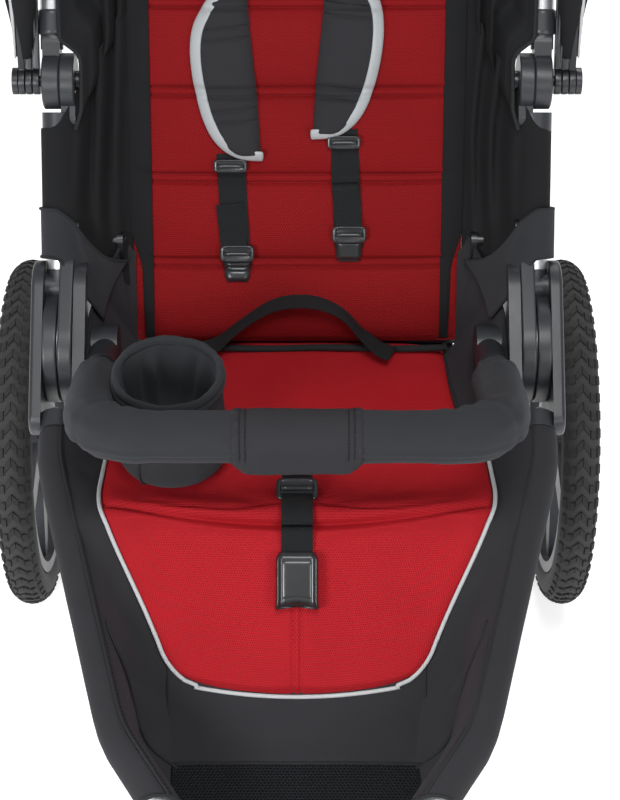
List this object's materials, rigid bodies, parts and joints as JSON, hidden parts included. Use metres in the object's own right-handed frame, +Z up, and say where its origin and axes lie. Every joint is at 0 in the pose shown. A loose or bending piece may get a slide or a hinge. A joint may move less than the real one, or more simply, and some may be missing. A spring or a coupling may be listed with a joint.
{
  "type": "jogging stroller",
  "caption": "Folding three-wheeled jogging stroller with a reclining mesh seat, harness, bumper bar, canopy, swivel front wheel and adjustable handle with a tray.",
  "frame": {"origin": "on the ground, below the middle of the stroller's box", "axes": "+Z up, -Y towards the front wheel, +X to the right of someone who looks at the front"},
  "size_m": [0.65, 1.1447, 1.0558],
  "materials": {
    "tyre": "matt rubber with a knobby tread",
    "rim": "moulded, satin, dark grey",
    "frame_metal": "satin silver powder coat",
    "dark_plastic": "fine moulded grain",
    "gloss_plastic": "polished dark grey",
    "hardware": "bright zinc",
    "red_mesh": "padded honeycomb mesh",
    "black_fabric": "woven polyester",
    "webbing": "ribbed nylon webbing",
    "padding": "padded polyester with a grey edge",
    "foam_grip": "closed-cell foam"
  },
  "bodies": {
    "front_frame": {"front_tube_left": "frame_metal", "front_tube_right": "frame_metal", "front_head": "dark_plastic", "hub_shell_left": "dark_plastic", "hub_shell_right": "dark_plastic", "hub_bolts": "hardware", "seat_cross_tubes": "frame_metal", "seat_board": "dark_plastic", "seat_cushion": "red_mesh", "calf_panel": "red_mesh", "footrest": "dark_plastic", "crotch_strap": "webbing", "strap_adjuster": "gloss_plastic", "harness_buckle": "gloss_plastic", "fold_strap": "webbing", "storage_basket": "black_fabric"},
    "buckle_button": {"buckle_button": "gloss_plastic"},
    "fork": {"fork": "frame_metal", "front_axle": "hardware"},
    "front_wheel": {"front_tyre": "tyre", "front_rim": "rim", "front_hub": "dark_plastic"},
    "quick_release": {"quick_release": "hardware"},
    "swivel_lock": {"swivel_lock": "dark_plastic"},
    "upper_frame": {"hub_arm_left": "dark_plastic", "hub_arm_right": "dark_plastic", "upper_tubes": "frame_metal", "upper_hubs": "dark_plastic", "pivot_screws": "hardware", "recline_brackets": "dark_plastic", "side_wings": "black_fabric", "rear_bow": "dark_plastic", "canopy_fabric": "black_fabric"},
    "mid_bow": {"mid_bow": "dark_plastic"},
    "front_bow": {"front_bow": "dark_plastic"},
    "handle": {"handle_hubs": "dark_plastic", "handle_tube": "frame_metal", "handle_grip": "foam_grip", "parent_tray": "dark_plastic", "cup_well_left": "dark_plastic", "cup_well_right": "dark_plastic"},
    "tray_lid": {"tray_lid": "dark_plastic"},
    "backrest": {"back_board": "dark_plastic", "back_cushion": "red_mesh", "shoulder_pads": "padding", "harness_tongues": "gloss_plastic"},
    "rear_legs": {"rear_leg_left": "frame_metal", "rear_leg_right": "frame_metal", "axle_tube": "frame_metal"},
    "rear_wheel_left": {"rear_tyre_left": "tyre", "rear_rim_left": "rim", "rear_hub_left": "dark_plastic"},
    "rear_wheel_right": {"rear_tyre_right": "tyre", "rear_rim_right": "rim", "rear_hub_right": "dark_plastic"},
    "brake_pedal": {"brake_pedal": "dark_plastic"},
    "bar_sockets": {"bar_sockets": "dark_plastic"},
    "bar": {"bar_tube": "frame_metal", "bar_pad": "padding", "cup_holder": "black_fabric"}
  },
  "joints": [
    {"name": "fold", "type": "hinge", "parent": "front_frame", "child": "upper_frame", "pos_m": [0, 0.13464, 0.5], "axis": [1, 0, 0], "range_deg": [0, 110]},
    {"name": "rear_leg_fold", "type": "hinge", "parent": "front_frame", "child": "rear_legs", "pos_m": [0, 0.13464, 0.5], "axis": [1, 0, 0], "range_deg": [-68, 0], "deforming": ["storage_basket"]},
    {"name": "bar_fold", "type": "hinge", "parent": "front_frame", "child": "bar_sockets", "pos_m": [0, 0.13464, 0.5], "axis": [1, 0, 0], "range_deg": [0, 13], "deforming": ["cup_holder"]},
    {"name": "bar_release", "type": "slide", "parent": "bar_sockets", "child": "bar", "axis": [0, 0.8988, -0.4384], "range_m": [-0.12, 0]},
    {"name": "recline", "type": "hinge", "parent": "upper_frame", "child": "backrest", "pos_m": [0, 0.20264, 0.451], "axis": [1, 0, 0], "range_deg": [-22, 0]},
    {"name": "handle_angle", "type": "hinge", "parent": "upper_frame", "child": "handle", "pos_m": [0, 0.29471, 0.70488], "axis": [1, 0, 0], "range_deg": [-20, 0]},
    {"name": "tray_lid", "type": "hinge", "parent": "handle", "child": "tray_lid", "pos_m": [0, 0.46364, 0.9895], "axis": [-1, 0, 0], "range_deg": [-100, 0]},
    {"name": "canopy_mid", "type": "hinge", "parent": "upper_frame", "child": "mid_bow", "pos_m": [0, 0.29471, 0.70488], "axis": [-1, 0, 0], "range_deg": [-36, 0], "deforming": ["canopy_fabric"]},
    {"name": "canopy_front", "type": "hinge", "parent": "mid_bow", "child": "front_bow", "pos_m": [0, 0.29471, 0.70488], "axis": [-1, 0, 0], "range_deg": [-34, 0]},
    {"name": "front_swivel", "type": "hinge", "parent": "front_frame", "child": "fork", "pos_m": [0, -0.45536, 0.37], "axis": [0, 0, 1], "continuous": true},
    {"name": "front_wheel_spin", "type": "hinge", "parent": "fork", "child": "front_wheel", "pos_m": [0, -0.42036, 0.152], "axis": [1, 0, 0], "continuous": true},
    {"name": "rear_wheel_left_spin", "type": "hinge", "parent": "rear_legs", "child": "rear_wheel_left", "pos_m": [-0.303, 0.29964, 0.198], "axis": [1, 0, 0], "continuous": true},
    {"name": "rear_wheel_right_spin", "type": "hinge", "parent": "rear_legs", "child": "rear_wheel_right", "pos_m": [0.303, 0.29964, 0.198], "axis": [1, 0, 0], "continuous": true},
    {"name": "brake", "type": "hinge", "parent": "rear_legs", "child": "brake_pedal", "pos_m": [0, 0.29964, 0.198], "axis": [-1, 0, 0], "range_deg": [0, 25]},
    {"name": "swivel_lock", "type": "hinge", "parent": "front_frame", "child": "swivel_lock", "pos_m": [0, -0.45536, 0.405], "axis": [0, 0, 1], "range_deg": [0, 90]},
    {"name": "quick_release", "type": "hinge", "parent": "fork", "child": "quick_release", "pos_m": [0.06, -0.42036, 0.152], "axis": [0, -1, 0], "range_deg": [0, 120]},
    {"name": "buckle_button", "type": "slide", "parent": "front_frame", "child": "buckle_button", "axis": [0, 0.7071, -0.7071], "range_m": [0, 0.0025], "stiffness_N_per_m": 400, "springref_m": -0.001}
  ],
  "couplings": [
    {"joint": "rear_leg_fold", "follows": "fold", "ratio": -0.618},
    {"joint": "bar_fold", "follows": "fold", "ratio": 0.118},
    {"joint": "canopy_front", "follows": "canopy_mid", "ratio": 0.944}
  ]
}
